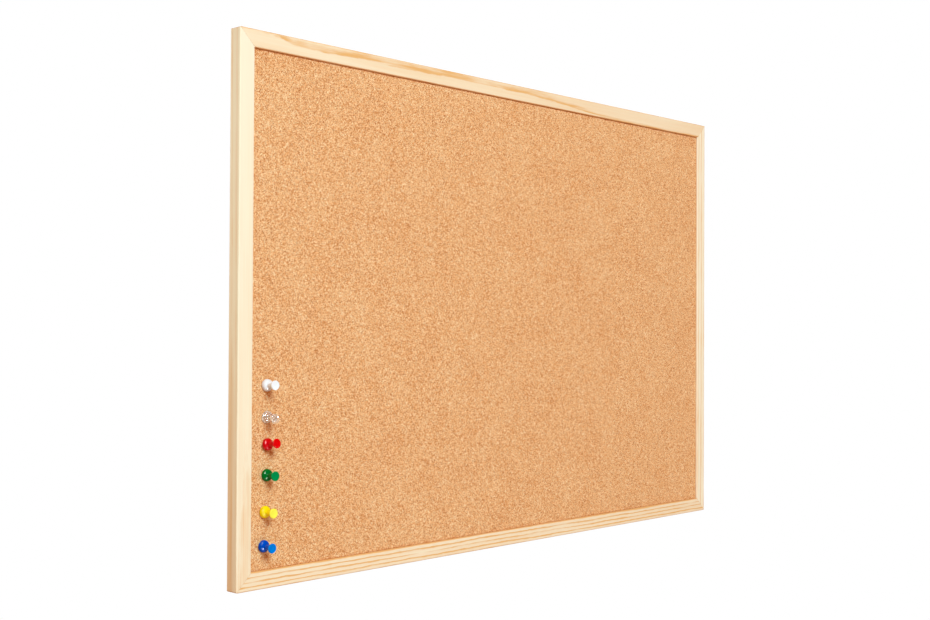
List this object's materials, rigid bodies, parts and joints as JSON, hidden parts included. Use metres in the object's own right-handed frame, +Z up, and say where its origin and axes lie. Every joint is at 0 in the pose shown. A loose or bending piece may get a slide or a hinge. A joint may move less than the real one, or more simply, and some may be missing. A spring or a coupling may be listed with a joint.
{
  "type": "framed cork pin board",
  "caption": "Framed cork pin board: cork sheet on a softboard core in a mitred pine frame with wall hangers, holding plastic push pins that pull out.",
  "frame": {"origin": "on the wall plane of the frame's back faces, midway between the two hangers, at the notch line of their teeth that the board hangs by", "axes": "+X to the right seen from the front, +Y from the front towards the wall, +Z up"},
  "size_m": [0.6, 0.0241, 0.3999],
  "materials": {
    "pine": "bare planed pine",
    "cork": "fine agglomerated cork, matt",
    "softboard": "raw wood-fibre softboard",
    "backing_card": "plain brown card",
    "zinc_steel": "bright zinc",
    "needle_steel": "polished",
    "white_plastic": "gloss",
    "clear_plastic": "gloss, clear",
    "red_plastic": "gloss",
    "green_plastic": "gloss",
    "yellow_plastic": "gloss",
    "blue_plastic": "gloss"
  },
  "bodies": {
    "board": {"top_rail": "pine", "bottom_rail": "pine", "left_stile": "pine", "right_stile": "pine", "cork_sheet": "cork", "core_board": "softboard", "backing_sheet": "backing_card", "corner_nail_top_left": "zinc_steel", "corner_nail_top_right": "zinc_steel", "corner_nail_bottom_right": "zinc_steel", "corner_nail_bottom_left": "zinc_steel", "panel_point_top_1": "zinc_steel", "panel_point_top_2": "zinc_steel", "panel_point_top_3": "zinc_steel", "panel_point_right_1": "zinc_steel", "panel_point_right_2": "zinc_steel", "panel_point_bottom_1": "zinc_steel", "panel_point_bottom_2": "zinc_steel", "panel_point_bottom_3": "zinc_steel", "panel_point_left_1": "zinc_steel", "panel_point_left_2": "zinc_steel", "hanger_left": "zinc_steel", "hanger_right": "zinc_steel", "hanger_nail_left_outer": "zinc_steel", "hanger_nail_left_inner": "zinc_steel", "hanger_nail_right_outer": "zinc_steel", "hanger_nail_right_inner": "zinc_steel"},
    "pin_white": {"pin_white_head": "white_plastic", "pin_white_needle": "needle_steel"},
    "pin_clear": {"pin_clear_head": "clear_plastic", "pin_clear_needle": "needle_steel"},
    "pin_red": {"pin_red_head": "red_plastic", "pin_red_needle": "needle_steel"},
    "pin_green": {"pin_green_head": "green_plastic", "pin_green_needle": "needle_steel"},
    "pin_yellow": {"pin_yellow_head": "yellow_plastic", "pin_yellow_needle": "needle_steel"},
    "pin_blue": {"pin_blue_head": "blue_plastic", "pin_blue_needle": "needle_steel"}
  },
  "joints": [
    {"name": "pin_white_pull", "type": "slide", "parent": "board", "child": "pin_white", "axis": [-0.0349, -0.999, 0.0262], "range_m": [0, 0.012]},
    {"name": "pin_clear_pull", "type": "slide", "parent": "board", "child": "pin_clear", "axis": [-0.0435, -0.996, -0.0785], "range_m": [0, 0.012]},
    {"name": "pin_red_pull", "type": "slide", "parent": "board", "child": "pin_red", "axis": [0.0951, -0.988, 0.1219], "range_m": [0, 0.012]},
    {"name": "pin_green_pull", "type": "slide", "parent": "board", "child": "pin_green", "axis": [0, -1, 0], "range_m": [0, 0.012]},
    {"name": "pin_yellow_pull", "type": "slide", "parent": "board", "child": "pin_yellow", "axis": [0.0262, -0.9995, -0.0175], "range_m": [0, 0.012]},
    {"name": "pin_blue_pull", "type": "slide", "parent": "board", "child": "pin_blue", "axis": [0.0174, -0.9985, -0.0523], "range_m": [0, 0.012]}
  ]
}
